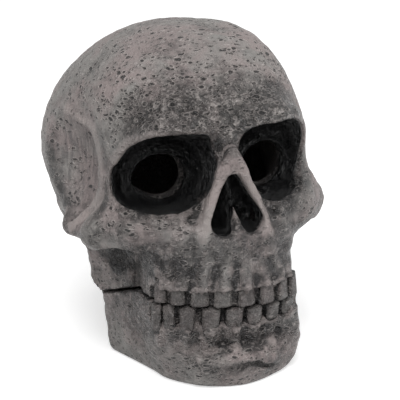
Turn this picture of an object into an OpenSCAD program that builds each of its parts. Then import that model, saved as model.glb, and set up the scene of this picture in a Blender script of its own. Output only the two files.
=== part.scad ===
// Skull-shaped bubbling ornament for an aquarium.
// Two hollow resin castings, an upper skull and a lower jaw that is also the foot.
// Air from a pump fills a bell in the upper casting, which tips back on a rear hinge.
// Origin: middle of the footprint, on the ground. The face looks along -Y.

/* [Head] */
// Width of the head across the braincase
head_w = 90; // [80:1:110]
// Length of the head from the teeth to the back
head_l = 112; // [100:1:135]
// Height of the whole ornament
head_h = 115; // [100:1:140]
// Wall thickness of both castings
wall = 5; // [4:0.5:6]

/* [Face] */
// Radius of the open hole in each eye socket
eye_hole_r = 7.5; // [5:0.5:8.5]
// Height of the upper teeth
upper_tooth_h = 8; // [6:0.5:9]
// Height of the lower teeth
lower_tooth_h = 7.5; // [6:0.5:8]
// Thickness of a tooth from front to back
tooth_t = 5.5; // [5:0.5:6]

/* [Parting] */
// Gap between the two castings along the parting line
parting_gap = 0.8; // [0.6:0.1:1.2]
// Thickness of the deck that closes the top of the jaw
deck_t = 4; // [3:0.5:5]
// Height of the deck's upper face above the ground
deck_z = 20; // [18:0.5:21]

/* [Hinge] */
// Radius of the hinge pin
pin_r = 1.5; // [1.2:0.1:1.8]
// Radial running clearance round the pin
pin_play = 0.08; // [0.05:0.01:0.1]
// Radius of the hinge knuckles
knuckle_r = 3.2; // [3:0.1:3.4]
// Length of the middle knuckle
knuckle_l = 10; // [9:1:12]
// Thickness of each bracket lug
lug_t = 3; // [2.4:0.2:3.6]
// Clearance between neighbouring knuckles
side_play = 0.4; // [0.3:0.1:0.6]
// Thickness of the plates of the hinge
plate_t = 2; // [1.6:0.1:2.4]

/* [Air line] */
// Bore radius of the air hose
hose_bore_r = 2; // [1.6:0.1:2.2]
// Outer radius of the air hose
hose_r = 3; // [2.8:0.1:3.2]
// Bore radius of the inlet and of the nozzle
air_bore_r = 1.1; // [0.8:0.1:1.3]
// Length of the inlet spigot that takes the pump's air line
spigot_l = 12; // [10:1:16]
// Radius of the mouth of the air bell
bell_r = 14; // [10:0.5:15]
// Height of the air bell
bell_h = 24; // [16:1:26]

/* [Hidden] */
$fn = 48;

// The head is drawn at this size and stretched to the driving sizes.
drawn_w = 90;
drawn_l = 112;
drawn_h = 115;
stretch = [head_w / drawn_w, head_l / drawn_l, head_h / drawn_h];

resin = [0.47, 0.43, 0.41];
dark_plastic = [0.13, 0.13, 0.14];
steel = [0.75, 0.76, 0.78];
silicone = [0.82, 0.84, 0.84];

// ---- Field functions: below zero inside the form, above zero outside ----

// Ellipsoid of radii r at c
function blob(p, c, r) =
    let (a = [for (i = [0:2]) (p[i] - c[i]) / r[i]],
        k0 = norm(a),
        k1 = norm([for (i = [0:2]) a[i] / r[i]]) + 0.000001)
    k0 * (k0 - 1) / k1;

// Round bar from a to b whose radius runs from ra to rb
function bar(p, a, b, ra, rb) =
    let (ab = b - a,
        t = min(1, max(0, (p - a) * ab / (ab * ab))))
    norm(p - a - t * ab) - ra - (rb - ra) * t;

// Box of half sizes h at c with edges rounded by r
function block(p, c, h, r) =
    let (q = [for (i = [0:2]) abs(p[i] - c[i]) - h[i] + r])
    norm([for (v = q) max(v, 0)]) + min(max(q), 0) - r;

// Upright slab from a to b in plan, from z0 to z1, with half widths ra to rb and edges rounded by r
function slab(p, a, b, ra, rb, z0, z1, r) =
    let (q = [p[0], p[1]],
        ab = b - a,
        t = min(1, max(0, (q - a) * ab / (ab * ab))),
        d = norm(q - a - t * ab) - ra - (rb - ra) * t + r,
        e = abs(p[2] - (z0 + z1) / 2) - (z1 - z0) / 2 + r)
    norm([max(d, 0), max(e, 0)]) + min(max(d, e), 0) - r;

// Union and cut with the seam blended over a width k
function join(a, b, k) =
    let (h = min(1, max(0, 0.5 + 0.5 * (b - a) / k)))
    b + (a - b) * h - k * h * (1 - h);
function carve(a, b, k) = -join(-a, b, k);

// Places on the drawn head, on the side where x is positive
brow_in = [8, -40, 91];
brow_mid = [19, -39.5, 93];
brow_out = [29, -28, 85];
rim_low = [32, -27, 64];
cheek_in = [17, -42, 60];
cheek_mid = [29, -34, 58];
cheek_out = [38, -25, 55];
arch_end = [41, -5, 50];
nose_top = [0, -38, 92];
nose_tip = [0, -45, 77];
nose_side = [9, -44, 58];
socket_at = [18.8, -38, 77.5];
socket_size = [12.5, 10, 11.5];
rim_at = [20, -44, 78];
rim_size = [15, 10, 14];
outer_at = [22, -37, 77];
outer_size = [12, 9, 12.5];
hole_at = [18.8, -40, 73.5];

// Braincase of two ellipsoids, the rear one broader, with the bosses of the forehead
function braincase(p) =
    let (vault = join(blob(p, [0, 13.3, 67], [45.5, 41, 43.5]), blob(p, [0, -3, 76], [40, 41, 40]), 14),
        bossed = join(vault, blob(p, [15, -18, 87], [18, 20, 20]), 14))
    join(bossed, blob(p, [0, -16, 90], [22, 22, 20]), 10);

// Brow ridge and outer rim of the socket
function brow(p) =
    join(join(bar(p, brow_in, brow_mid, 4, 4), bar(p, brow_mid, brow_out, 4, 3), 6),
        bar(p, brow_out, rim_low, 3, 4), 5);

// Cheekbone and the arch that runs back from it
function cheek(p) =
    join(join(bar(p, cheek_in, cheek_mid, 6, 7.5), bar(p, cheek_mid, cheek_out, 7.5, 7), 6),
        bar(p, cheek_out + [0, 1, -1], arch_end, 6, 4.5), 5);

// Nasal bone, the rim down each side of the nose and the swelling round it
function nose(p) =
    let (ridge = join(bar(p, nose_top, nose_tip, 4, 5.5), bar(p, nose_tip + [2.5, 1, -1], nose_side, 4.5, 4.5), 4))
    join(ridge, blob(p, [0, -39, 58], [17, 10, 16]), 8);

// Upper jaw, the base of the skull behind it and the upper part of the jaw's rear branch
function muzzle(p) =
    let (front = slab(p, [0, -39.5], [13, -36.5], 14, 14, 14, 60, 8),
        base = slab(p, [0, -24], [0, 6], 22, 18, 12, 60, 9),
        branch = slab(p, [24, -20], [29, -4], 5, 5.5, 20, 58, 5))
    join(join(front, base, 8), branch, 5);

// Biting line of the teeth: its height in the middle of the mouth and its fall per mm towards the head's left
bite_z = 30.5;
bite_fall = 0.115;
function bite(x) = bite_z - bite_fall * x;

// The band between the gums lies this far behind them, so the teeth stand in it
band_depth = 2.5;
band_back = -36;
lower_gum_z = bite_z - 1 - lower_tooth_h;
function mouth_band(q, d) =
    let (within = min(q[2] - lower_gum_z, bite(q[0]) + upper_tooth_h - 0.5 - q[2]))
    max(d, min(min(within, d + band_depth), band_back - q[1]));

// Whole upper head, mirrored left to right
function head_form(q) =
    let (p = [abs(q[0]), q[1], q[2]],
        rimmed = join(braincase(p), brow(p), 6),
        faced = join(join(rimmed, cheek(p), 7), nose(p), 6),
        bone = join(faced, muzzle(p), 8))
    mouth_band(q, carve(bone, blob(p, [50, -12, 74], [16, 18, 23]), 6));

// How far the chin stands to one side at the ground, as on a hand-sculpted original
chin_lean = 4.5;
function leaned(q) =
    let (forward = min(1, max(0, (-q[1] - 5) / 40)),
        low = min(1, max(0.1, 1 - q[2] / 30)))
    [q[0] - chin_lean * forward * low, q[1], q[2]];

// Point moved outwards below z = 26, so that the form there is narrower
function narrowed(p, by) = [p[0] + by * min(26, max(0, 26 - p[2])), p[1], p[2]];

// Lower jaw with its chin, tapering to the rear of the foot
function jaw_form(q) =
    let (s = leaned(q),
        p = [abs(s[0]), s[1], s[2]],
        body = join(slab(narrowed(p, 0.2), [0, -40.5], [16, -37], 11.5, 11.5, -3, 40, 10),
            slab(narrowed(p, 0.1), [19, -32], [26, -8], 7, 6, -2, 40, 6), 6),
        foot = join(body, block(p, [0, -4, 14], [18, 28, 26], 7), 8))
    mouth_band(q, join(foot, blob(p, [0, -44, 7], [16, 9, 9]), 6));

// ---- Turning a form into a mesh ----

// Walks in along a ray from far out until it meets the form, shrunk by inset
function meet(which, from, dir, inset, r, steps) =
    let (p = from + r * dir,
        d = (which == 0 ? head_form(p) : jaw_form(p)) + inset)
    steps == 0 || abs(d) < 0.04 || r < 3 ? max(r, 3) : meet(which, from, dir, inset, r - 0.9 * d, steps - 1);

// Closed mesh of rings of latitude about the point from
module form_mesh(which, from, inset, around, rings) {
    points = [for (j = [1:rings - 1]) for (i = [0:around - 1])
        let (lat = -90 + 180 * j / rings,
            lon = 360 * (i + 0.5) / around,
            dir = [cos(lat) * cos(lon), cos(lat) * sin(lon), sin(lat)])
        from + meet(which, from, dir, inset, 75, 16) * dir];
    low = from + meet(which, from, [0, 0, -1], inset, 75, 16) * [0, 0, -1];
    high = from + meet(which, from, [0, 0, 1], inset, 75, 16) * [0, 0, 1];
    last = len(points);
    sides = [for (j = [0:rings - 3]) for (i = [0:around - 1])
        let (n = (i + 1) % around,
            a = j * around + i,
            b = j * around + n,
            c = a + around,
            d = b + around)
        each [[a, c, d], [a, d, b]]];
    ends = [for (i = [0:around - 1])
        let (n = (i + 1) % around,
            t = (rings - 2) * around)
        each [[last, i, n], [last + 1, t + n, t + i]]];
    scale(stretch)
        polyhedron(points = concat(points, [low, high]), faces = concat(sides, ends), convexity = 6);
}

// ---- Parting line ----

// Underside of the upper casting. The front follows the biting line. Behind step_y it falls
// from step_z to dip_z, then runs level at part_z.
step_y = -30 * stretch[1];
step_z = 33;
dip_y = -9 * stretch[1];
dip_z = 24.5;
rise_y = -2 * stretch[1];
part_z = 28;
hinge_y = 15;
hinge_z = deck_z + knuckle_r + 0.8;
rear_drop = 4.4;

// Everything below the upper casting
module below_upper() {
    across() polygon([[step_y, -10], [step_y, step_z], [dip_y, dip_z], [rise_y, part_z], [90, part_z], [90, -10]]);
    on_bite(step_y, 0) translate([-70, -90, -60]) cube([140, 90, 60]);
}

// Everything above the lower casting, which stays a gap away from the upper one
module above_lower() {
    g = parting_gap;
    across() polygon([[step_y - g, 90], [step_y - g, step_z - g], [dip_y, dip_z - g], [rise_y, part_z - g],
        [hinge_y - 4, part_z - g], [hinge_y - 4, part_z - g - rear_drop], [90, part_z - g - rear_drop], [90, 90]]);
    on_bite(step_y + g, -g) translate([-70, -90, 0]) cube([140, 90, 60]);
}

// Lays the ground plane along the biting line at the given y, raised by dz
module on_bite(y, dz) {
    translate([0, y, bite_z + dz]) rotate([0, atan(bite_fall), 0]) children();
}

// Turns a side outline, drawn as y and z, into a slab right across the head
module across() {
    rotate([90, 0, 90]) linear_extrude(height = 140, center = true) children();
}

// ---- Teeth ----

// Front of the tooth row at a distance x from the middle
function row_y(x) = (-54.3 + 8.5 * pow(x / 26.5, 2)) * stretch[1];
function row_turn(x) = atan(17 * x / pow(26.5, 2));

// Centre and width of each tooth across the mouth, set unevenly as on a hand-made original
upper_teeth = [[-24.4, 5], [-19.2, 5.8], [-12, 7.2], [-4.7, 7.4], [3.9, 6.8], [12.4, 7.4], [19.2, 6], [24, 4.8]];
lower_teeth = [[-24.4, 4.4], [-20, 5], [-15.2, 6.4], [-8, 7], [0, 7.2], [8, 7], [15.1, 6], [21.2, 5.2]];

// One tooth of width w, its biting edge at z = 0 and its root up at z = h
module tooth(w, h) {
    hull() {
        tooth_ring(w, 0, 0.74);
        tooth_ring(w, 1.1, 0.97);
        tooth_ring(w, h * 0.6, 1);
        tooth_ring(w, h, 0.72);
    }
}

// Eight-sided level of a tooth at height z, grown by the given factor
module tooth_ring(w, z, grow) {
    translate([0, 0, z]) scale([w / 2 * grow, tooth_t / 2 * grow, 1])
        rotate([0, 0, 22.5]) cylinder(r = 1.08, h = 0.1, $fn = 8);
}

// Sets a tooth at x on the row, with its front a little behind the gum
module on_row(x) {
    translate([x * stretch[0], row_y(x) + tooth_t / 2, 0]) rotate([0, 0, row_turn(x)]) children();
}

// ---- Upper casting ----

head_middle = [0, -2, 66];

// Pear-shaped opening of the nose, with the thin bone left standing in its middle
module nose_opening() {
    for (side = [-1, 1])
        hull() {
            translate([side * 4.5, -43 * stretch[1], 59 * stretch[2]])
                rotate([90, 0, 0]) cylinder(r = 4.3, h = 19, $fn = 24);
            translate([side * 1.5, -43 * stretch[1], 73.5 * stretch[2]])
                rotate([90, 0, 0]) cylinder(r = 3, h = 19, $fn = 24);
        }
}

// Sockets of the eyes, grown by the given margin
module sockets(margin) {
    grown = [margin, margin, margin];
    for (side = [-1, 1])
        scale(stretch) mirror([side < 0 ? 1 : 0, 0, 0]) {
            translate(socket_at) scale(socket_size + grown) sphere(r = 1, $fn = 28);
            translate(rim_at) scale(rim_size + grown) sphere(r = 1, $fn = 28);
            translate(outer_at) scale(outer_size + grown) sphere(r = 1, $fn = 28);
        }
}

module eye_holes() {
    for (side = [-1, 1])
        translate([side * hole_at[0] * stretch[0], hole_at[1] * stretch[1], hole_at[2] * stretch[2]])
            rotate([-90, 0, 0]) cylinder(r = eye_hole_r, h = 40, $fn = 40);
}

// Underside of the solid resin behind the nose, which also carries the air bell
guard_z = 54 * stretch[2];

// Hollow of the upper casting, kept clear of the nose and the sockets
module head_hollow() {
    difference() {
        form_mesh(0, head_middle, wall, 30, 17);
        sockets(wall);
        translate([-10, -60 * stretch[1], guard_z]) cube([20, 60 * stretch[1] - 33, 30]);
    }
}

module cranium() {
    color(resin) {
        difference() {
            form_mesh(0, head_middle, 0, 72, 38);
            below_upper();
            head_hollow();
            nose_opening();
            sockets(0);
            eye_holes();
        }
        for (t = upper_teeth)
            on_row(t[0]) translate([0, 0, bite(t[0]) + 0.3]) tooth(t[1], upper_tooth_h);
    }
}

// ---- Lower casting ----

jaw_middle = [0, -14, 14];

// Plan of the lower casting at height z, inset from its outside
module jaw_plan(z, inset) {
    projection(cut = true) translate([0, 0, -z * stretch[2]]) form_mesh(1, jaw_middle, inset, 44, 20);
}

// Hollow above the deck, open at the mouth
module mouth_hollow() {
    translate([0, 0, deck_z]) linear_extrude(height = 20) jaw_plan(24, wall);
}

// Hollow below the deck, open to the ground; its wall is thicker to leave a foot under the rounded edge
foot_extra = 2.5;
module foot_hollow() {
    translate([0, 0, -1]) linear_extrude(height = deck_z - deck_t + 1) jaw_plan(10, wall + foot_extra);
}

nozzle_y = -16;
inlet_z = 9;
grommet_r = 4.5;
foot_back = 24 * stretch[1];

module lower_jaw() {
    color(resin) {
        difference() {
            form_mesh(1, jaw_middle, 0, 44, 24);
            above_lower();
            mouth_hollow();
            foot_hollow();
            translate([-60, -80, -30]) cube([120, 160, 30]);
            translate([0, nozzle_y, 0]) cylinder(r = nozzle_r + 0.1, h = 40);
            translate([0, foot_back - 12, inlet_z]) rotate([-90, 0, 0]) cylinder(r = grommet_r + 0.05, h = 30);
            for (side = [-1, 1]) translate([side * pad_x, pad_y, pad_z]) cylinder(r = pad_r + 0.1, h = 10);
        }
        lower_row();
    }
}

module lower_row() {
    for (t = lower_teeth) {
        edge_z = bite(t[0]) - 0.3;
        translate([0, 0.9, edge_z]) on_row(t[0]) mirror([0, 0, 1]) tooth(t[1], edge_z - lower_gum_z + 1);
    }
}

// ---- Hinge ----

leaf_l = 16;
lug_x = knuckle_l / 2 + side_play;
bracket_l = 12;

module hinge_bracket() {
    difference() {
        union() {
            translate([lug_x, hinge_y, hinge_z]) rotate([0, 90, 0]) cylinder(r = knuckle_r, h = lug_t);
            translate([lug_x, hinge_y - knuckle_r, deck_z]) cube([lug_t, 2 * knuckle_r, hinge_z - deck_z]);
            translate([lug_x, hinge_y - bracket_l + knuckle_r, deck_z]) cube([lug_t, bracket_l, plate_t]);
        }
        translate([0, hinge_y, hinge_z]) rotate([0, 90, 0]) cylinder(r = pin_r + 0.01, h = 40);
    }
}

module hinge_bracket_left() {
    color(dark_plastic) mirror([1, 0, 0]) hinge_bracket();
}

module hinge_bracket_right() {
    color(dark_plastic) hinge_bracket();
}

module hinge_leaf() {
    color(dark_plastic)
        difference() {
            union() {
                translate([-knuckle_l / 2, hinge_y, hinge_z]) rotate([0, 90, 0]) cylinder(r = knuckle_r, h = knuckle_l);
                translate([-knuckle_l / 2, hinge_y - knuckle_r, hinge_z])
                    cube([knuckle_l, 2 * knuckle_r, part_z - hinge_z]);
                translate([-knuckle_l / 2, hinge_y - knuckle_r, part_z - plate_t])
                    cube([knuckle_l, leaf_l, plate_t]);
            }
            translate([-20, hinge_y, hinge_z]) rotate([0, 90, 0]) cylinder(r = pin_r + pin_play, h = 40);
        }
}

pin_l = 2 * (lug_x + lug_t) + 5;

module hinge_pin() {
    color(steel) translate([-pin_l / 2, hinge_y, hinge_z]) rotate([0, 90, 0]) cylinder(r = pin_r, h = pin_l);
}

// Push-on cap that keeps the pin in its lugs
module pin_cap() {
    color(dark_plastic)
        difference() {
            translate([lug_x + lug_t + 0.1, hinge_y, hinge_z]) rotate([0, 90, 0]) cylinder(r = pin_r + 1.1, h = 3.4);
            translate([0, hinge_y, hinge_z]) rotate([0, 90, 0]) cylinder(r = pin_r + 0.01, h = pin_l / 2 + 0.05);
        }
}

module pin_cap_left() {
    mirror([1, 0, 0]) pin_cap();
}

module pin_cap_right() {
    pin_cap();
}

// ---- Rest pads between the castings ----

pad_r = 1.8;
pad_x = 15.5;
pad_y = 6;
pad_z = part_z - parting_gap - 1.2;

module rest_pad() {
    color(silicone) translate([pad_x, pad_y, pad_z]) cylinder(r = pad_r, h = part_z - pad_z - 0.02);
}

module rest_pad_left() {
    mirror([1, 0, 0]) rest_pad();
}

module rest_pad_right() {
    rest_pad();
}

// ---- Air line ----

nozzle_r = 3;
nut_r = 5.5;
nut_t = 2.2;
flange_t = 1.6;
slip = 0.03;
inlet_stem_r = 2.6;
inlet_stem_l = 7.5;
hose_grip = 8;

// A tube along +Y from y0 at the height of the air line
module pipe(y0, l, r) {
    translate([0, y0, inlet_z]) rotate([-90, 0, 0]) cylinder(r = r, h = l);
}

module air_inlet() {
    hose_end_y = foot_back - inlet_stem_l;
    color(dark_plastic)
        difference() {
            union() {
                pipe(foot_back, flange_t, grommet_r);
                pipe(foot_back + flange_t, spigot_l, hose_bore_r);
                translate([0, foot_back + flange_t + spigot_l, inlet_z]) rotate([-90, 0, 0])
                    cylinder(r1 = hose_bore_r, r2 = hose_bore_r - 0.5, h = 1.6);
                pipe(hose_end_y, inlet_stem_l, inlet_stem_r);
                pipe(hose_end_y - hose_grip, hose_grip, hose_bore_r - slip);
            }
            pipe(foot_back - 30, 60, air_bore_r);
        }
}

module inlet_grommet() {
    color([0.08, 0.08, 0.08])
        difference() {
            pipe(foot_back - 6.5, 6.45, grommet_r);
            pipe(foot_back - 30, 60, inlet_stem_r + 0.02);
        }
}

module air_hose() {
    start_y = nozzle_y + nozzle_r + 0.4;
    color(silicone)
        difference() {
            pipe(start_y, foot_back - inlet_stem_l - 0.1 - start_y, hose_r);
            pipe(start_y - 1, 60, hose_bore_r);
        }
}

// Elbow that turns the air up through the deck
module air_nozzle() {
    color(dark_plastic)
        difference() {
            union() {
                translate([0, nozzle_y, deck_z - deck_t - flange_t]) cylinder(r = nut_r, h = flange_t);
                translate([0, nozzle_y, inlet_z - nozzle_r]) cylinder(r = nozzle_r, h = nozzle_top - inlet_z + nozzle_r);
                pipe(nozzle_y, nozzle_r + hose_grip, hose_bore_r - slip);
            }
            translate([0, nozzle_y, inlet_z]) cylinder(r = air_bore_r, h = 60);
            pipe(nozzle_y, 60, air_bore_r);
        }
}

module nozzle_nut() {
    color(dark_plastic)
        difference() {
            translate([0, nozzle_y, deck_z]) cylinder(r = nut_r, h = nut_t, $fn = 6);
            translate([0, nozzle_y, 0]) cylinder(r = nozzle_r + 0.01, h = 60);
        }
}

// Cup that catches the air over the nozzle, hung from the resin behind the nose
bell_z = 33;
nozzle_top = bell_z - 1;
bell_wall = 1.6;
tab_w = 9;
tab_t = 2;

module air_bell() {
    color(dark_plastic) {
        difference() {
            translate([0, nozzle_y, bell_z]) bell_form(bell_r, bell_h);
            translate([0, nozzle_y, bell_z - 0.01]) bell_form(bell_r - bell_wall, bell_h - bell_wall);
        }
        translate([-tab_w / 2, -45 * stretch[1], guard_z - tab_t])
            cube([tab_w, 45 * stretch[1] + nozzle_y - bell_r + bell_wall / 2 + 2, tab_t]);
    }
}

module bell_form(r, h) {
    crown = 5;
    rotate_extrude()
        polygon([[0, 0], [r, 0], [r - 1, h - crown], [r - crown, h], [0, h]]);
}

cranium();
lower_jaw();
hinge_bracket_left();
hinge_bracket_right();
hinge_leaf();
hinge_pin();
pin_cap_left();
pin_cap_right();
rest_pad_left();
rest_pad_right();
air_inlet();
inlet_grommet();
air_hose();
air_nozzle();
nozzle_nut();
air_bell();
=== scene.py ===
# %% [markdown]
# # A skull ornament that blows bubbles
# Air from a pump fills a bell inside this aquarium ornament. The bell lifts the upper
# casting until the bubbles escape, and the mouth shuts again. Two hollow resin castings
# make the outside, and a small hinge and air line work inside them.
# The CAD frame already holds every piece at its real place, so the script starts by
# loading it.

import bpy
import numpy as np
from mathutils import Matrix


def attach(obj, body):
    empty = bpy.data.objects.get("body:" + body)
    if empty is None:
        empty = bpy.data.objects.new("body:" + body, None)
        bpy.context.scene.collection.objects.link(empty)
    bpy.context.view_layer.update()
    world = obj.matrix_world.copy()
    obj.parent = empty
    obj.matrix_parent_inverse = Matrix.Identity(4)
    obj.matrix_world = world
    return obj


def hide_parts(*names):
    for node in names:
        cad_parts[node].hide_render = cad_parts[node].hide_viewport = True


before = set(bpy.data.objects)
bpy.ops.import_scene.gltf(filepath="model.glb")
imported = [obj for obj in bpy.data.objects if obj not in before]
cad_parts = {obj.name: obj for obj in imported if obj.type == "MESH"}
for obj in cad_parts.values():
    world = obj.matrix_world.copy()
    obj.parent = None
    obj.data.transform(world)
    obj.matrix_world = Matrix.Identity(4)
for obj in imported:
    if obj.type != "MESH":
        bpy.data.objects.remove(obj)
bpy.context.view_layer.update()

MM = 0.001


def placed(name, data):
    """New object with this data, in the scene."""
    made = bpy.data.objects.new(name, data)
    bpy.context.scene.collection.objects.link(made)
    return made


print("pieces in the frame:", len(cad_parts))

# %% [markdown]
# ## Camera first
# The view is from the head's right front and a little above, through a long lens, so
# that the face keeps its true proportions. A long lens far away is set by one angle
# round the object, one angle above it and a distance. The small lens shift only slides
# the picture on its sheet. It does not turn or bend anything.

# %% Camera
AZIMUTH, ELEVATION, DISTANCE = np.radians(-22), np.radians(20), 0.600
LOOK_AT = np.array([0, -0.004, 0.058])
forward = np.array([-np.sin(AZIMUTH) * np.cos(ELEVATION),
                    np.cos(AZIMUTH) * np.cos(ELEVATION), -np.sin(ELEVATION)])
lens = bpy.data.cameras.new("camera")
lens.lens = 151.2
lens.sensor_width = 36
lens.shift_x, lens.shift_y = 0.0475, -0.03625
camera = placed("camera", lens)
camera.location = LOOK_AT - forward * DISTANCE
camera.rotation_euler = (np.pi / 2 - ELEVATION, 0, AZIMUTH)
bpy.context.scene.camera = camera
print("camera stands at", [round(v, 3) for v in camera.location])

# %% [markdown]
# ## Sculpting with distance fields
# The original was modelled by hand in clay, so its forms melt into each other. A good
# way to get that in code is a distance field: a function that is below zero inside the
# form and above zero outside. Two fields are joined like soft clay with a blended
# minimum, and a hollow is carved with its opposite. Sizes here are in millimetres.

# %% Clay tools
def span(*parts):
    """Length of a vector, given its parts."""
    return np.sqrt(sum(v ** 2 for v in parts))


def blob(p, c, r):
    """Ellipsoid of radii r round c."""
    a = [(p[i] - c[i]) / r[i] for i in range(3)]
    k0 = span(*a)
    k1 = span(*(a[i] / r[i] for i in range(3))) + 1e-6
    return k0 * (k0 - 1) / k1


def bar(p, a, b, ra, rb):
    """Round bar from a to b whose radius runs from ra to rb."""
    ab = [b[i] - a[i] for i in range(3)]
    t = sum((p[i] - a[i]) * ab[i] for i in range(3)) / sum(v * v for v in ab)
    t = np.clip(t, 0, 1)
    return span(*(p[i] - a[i] - t * ab[i] for i in range(3))) - ra - (rb - ra) * t


def block(p, c, h, r):
    """Box of half sizes h round c, its edges rounded by r."""
    q = [np.abs(p[i] - c[i]) - (h[i] - r) for i in range(3)]
    out = span(*(np.maximum(v, 0) for v in q))
    return out + np.minimum(np.maximum(np.maximum(q[0], q[1]), q[2]), 0) - r


def slab(p, a, b, ra, rb, z0, z1, r):
    """Upright slab from a to b in plan, as high as z0 to z1, its edges rounded by r."""
    ab = [b[0] - a[0], b[1] - a[1]]
    t = np.clip(((p[0] - a[0]) * ab[0] + (p[1] - a[1]) * ab[1]) / (ab[0] ** 2 + ab[1] ** 2), 0, 1)
    d = span(p[0] - a[0] - t * ab[0], p[1] - a[1] - t * ab[1]) - ra - (rb - ra) * t + r
    e = np.abs(p[2] - (z0 + z1) / 2) - (z1 - z0) / 2 + r
    return span(np.maximum(d, 0), np.maximum(e, 0)) + np.minimum(np.maximum(d, e), 0) - r


def join(a, b, k):
    """Both forms, with the seam between them filled over a width k."""
    h = np.clip(0.5 + 0.5 * (b - a) / k, 0, 1)
    return b + (a - b) * h - k * h * (1 - h)


def carve(a, b, k):
    """Form a with form b taken out of it, the edge softened over a width k."""
    return -join(-a, b, k)


def strand(p, points, radii):
    """A bent rod through the points, with its own radius at each one."""
    d = bar(p, points[0], points[1], radii[0], radii[1])
    for i in range(1, len(points) - 1):
        d = np.minimum(d, bar(p, points[i], points[i + 1], radii[i], radii[i + 1]))
    return d


def near(p, d, low, high, work):
    """Runs work only on the points between two corners, to save time."""
    m = np.ones(len(d), bool)
    for i in range(3):
        m &= (p[i] > low[i]) & (p[i] < high[i])
    if m.any():
        d[m] = work(tuple(c[m] for c in p), d[m])
    return d


def press(p, d, low, high, work, points, radii, k):
    """Joins or carves a strand between two corners."""
    return near(p, d, low, high, lambda s, e: work(e, strand(s, points, radii), k))


def ramp(v, low, high):
    """Runs smoothly from 0 at low to 1 at high."""
    t = np.clip((v - low) / (high - low), 0, 1)
    return t * t * (3 - 2 * t)


def hump(v, middle, half):
    """1 at the middle, and falling off smoothly over a half width."""
    return np.exp(-((v - middle) / half) ** 2)


def knead(p, d, spots):
    """Adds soft lumps of clay. Each spot has a middle, three half widths and a thickness."""
    for x, y, z, rx, ry, rz, thick in spots:
        d = d - thick * hump(p[0], x, rx) * hump(p[1], y, ry) * hump(p[2], z, rz)
    return d


print("clay tools ready")

# %% [markdown]
# ## The skull's big forms
# These are the same ellipsoids and bars that the CAD part is made of, so that the
# looks and the solid agree. Working on the distance to the middle plane, |x|, makes
# left and right mirror images. The brow, the cheekbone and the nose are bars laid in
# the surface. The temple is scooped out with a large ellipsoid.

# %% Bone of the upper head
TEMPLE_HOLLOW = ((50, -12, 74), (16, 18, 23))


def upper_bone(q):
    p = (np.abs(q[0]), q[1], q[2])
    d = join(blob(p, (0, 13.3, 67), (45.5, 41, 43.5)), blob(p, (0, -3, 76), (40, 41, 40)), 14)
    d = join(d, blob(p, (15, -18, 87), (18, 20, 20)), 14)
    d = join(d, blob(p, (0, -16, 90), (22, 22, 20)), 10)
    brow = join(bar(p, (8, -40, 91), (19, -39.5, 93), 4, 4),
                bar(p, (19, -39.5, 93), (29, -28, 85), 4, 3), 6)
    d = join(d, join(brow, bar(p, (29, -28, 85), (32, -27, 64), 3, 4), 5), 6)
    cheek = join(bar(p, (17, -42, 60), (29, -34, 58), 6, 7.5),
                 bar(p, (29, -34, 58), (38, -25, 55), 7.5, 7), 6)
    d = join(d, join(cheek, bar(p, (38, -24, 54), (41, -5, 50), 6, 4.5), 5), 7)
    nose = join(bar(p, (0, -38, 92), (0, -45, 77), 4, 5.5),
                bar(p, (2.5, -44, 76), (9, -44, 58), 4.5, 4.5), 4)
    d = join(d, join(nose, blob(p, (0, -39, 58), (17, 10, 16)), 8), 6)
    muzzle = join(slab(p, (0, -39.5), (13, -36.5), 14, 14, 14, 60, 8),
                  slab(p, (0, -24), (0, 6), 22, 18, 12, 60, 9), 8)
    d = join(d, join(muzzle, slab(p, (24, -20), (29, -4), 5, 5.5, 20, 58, 5), 5), 8)
    return carve(d, blob(p, *TEMPLE_HOLLOW), 6)


# %% [markdown]
# ## Finer work on the face
# A skull reads by its edges: the ridge that bounds the temple, the brow, the rim of
# the nose and the roots of the teeth under the gum. Each is a thin strand pressed into
# the big form with a tight blend. The teeth's biting line is not level on this
# hand-made original. It climbs a little towards the head's right.

# %% Teeth line
BITE_Z, BITE_FALL, UPPER_TOOTH_H, LOWER_TOOTH_H = 30.5, 0.115, 8.0, 7.5
LOWER_GUM_Z = BITE_Z - 1 - LOWER_TOOTH_H
CHIN_LEAN = 4.5
# Each tooth: distance of its middle from the head's middle, and its width
UPPER_TEETH = [(-23.6, 4.4), (-18.6, 5.4), (-11.6, 6.7), (-4.2, 6.9),
               (4.2, 6.9), (12.2, 6.6), (19.0, 5.4), (23.8, 4.2)]
LOWER_TEETH = [(-24.6, 3.6), (-20.6, 4.4), (-15.6, 5.8), (-8.0, 6.7),
               (0.2, 6.7), (7.9, 6.4), (15.1, 5.7), (21.2, 4.8)]
ARCH_FRONT, ARCH_DEPTH, ARCH_HALF = -54.3, 8.5, 26.5


def bite(x):
    return BITE_Z - BITE_FALL * x


def row_y(x):
    """Front of the tooth row at a distance x from the middle."""
    return ARCH_FRONT + ARCH_DEPTH * (x / ARCH_HALF) ** 2


def row_turn(x):
    """Turn about z that sets a tooth square to the row."""
    return np.arctan(2 * ARCH_DEPTH * x / ARCH_HALF ** 2)


def upper_gum(x):
    """Height of the upper gum between two teeth."""
    return bite(x) + UPPER_TOOTH_H - 2.8 + 0.05 * x


def lower_gum(x):
    return LOWER_GUM_Z + 2.6 - 0.05 * x


def arches(x, teeth):
    """1 over the middle of each tooth and 0 between two, for the scalloped edge of the gum."""
    humps = [np.clip(1 - ((x - at) / (0.5 * width + 0.4)) ** 2, 0, 1) for at, width in teeth]
    return np.max(humps, axis=0)


def mouth_band(q, d):
    """Sets the band between the gums back, so that the teeth stand in it."""
    above = upper_gum(q[0]) + 1.6 * arches(q[0], UPPER_TEETH) - q[2]
    below = q[2] - lower_gum(q[0]) + 1.3 * arches(q[0], LOWER_TEETH)
    return np.maximum(d, np.minimum(np.minimum(np.minimum(above, below), d + 1.3), -q[1] - 41))


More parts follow.
